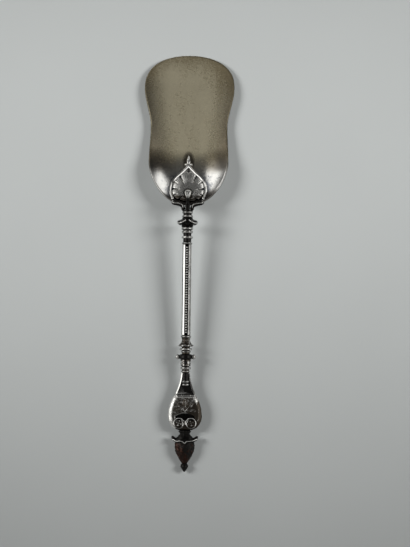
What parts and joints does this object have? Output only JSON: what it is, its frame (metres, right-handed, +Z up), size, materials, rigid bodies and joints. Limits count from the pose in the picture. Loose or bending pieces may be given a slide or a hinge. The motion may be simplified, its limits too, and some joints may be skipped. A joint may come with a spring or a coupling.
{
  "type": "sugar spoon",
  "caption": "Antique silver sugar spoon of the shovel kind: wide flat-floored bowl with a palmette in its heel, beaded reeded stem, turned collars and a medallion end with a pointed bud.",
  "frame": {"origin": "under the middle of the spoon, on the table it lies on", "axes": "+Y runs along the spoon to the tip of the bowl, +Z up out of the bowl, +X to the right seen from above with the bowl's tip away from the viewer"},
  "size_m": [0.0336, 0.1551, 0.0115],
  "materials": {
    "bowl_silver": "satin, warmly tarnished",
    "polished_silver": "worn polish",
    "darkened_silver": "darkened in the recesses, worn bright on the edges"
  },
  "bodies": {
    "root": {"bowl": "bowl_silver", "palmette_shell": "polished_silver", "palmette_frame": "polished_silver", "frame_bud": "polished_silver", "calyx_drop": "polished_silver", "scroll_arm_left": "polished_silver", "scroll_arm_right": "polished_silver", "neck_socket": "darkened_silver", "neck_rings": "polished_silver", "leaf_knop": "darkened_silver", "knop_leaves": "polished_silver", "collar_spindle": "darkened_silver", "collar_rings": "polished_silver", "lower_cap": "polished_silver", "stem_bar": "polished_silver", "bead_strip_front": "darkened_silver", "bead_strip_back": "darkened_silver", "upper_cap": "polished_silver", "bell_knop": "darkened_silver", "bell_ring": "polished_silver", "lug_collar": "darkened_silver", "lug_beads": "polished_silver", "drum": "darkened_silver", "drum_bud": "darkened_silver", "drum_rings": "polished_silver", "column": "darkened_silver", "terminal_plate": "polished_silver", "medallion": "polished_silver", "medallion_relief": "darkened_silver", "medallion_volutes": "darkened_silver", "leaf_neck": "darkened_silver", "crown_collar": "darkened_silver", "bud_finial": "darkened_silver", "bud_tip": "darkened_silver"}
  },
  "joints": []
}
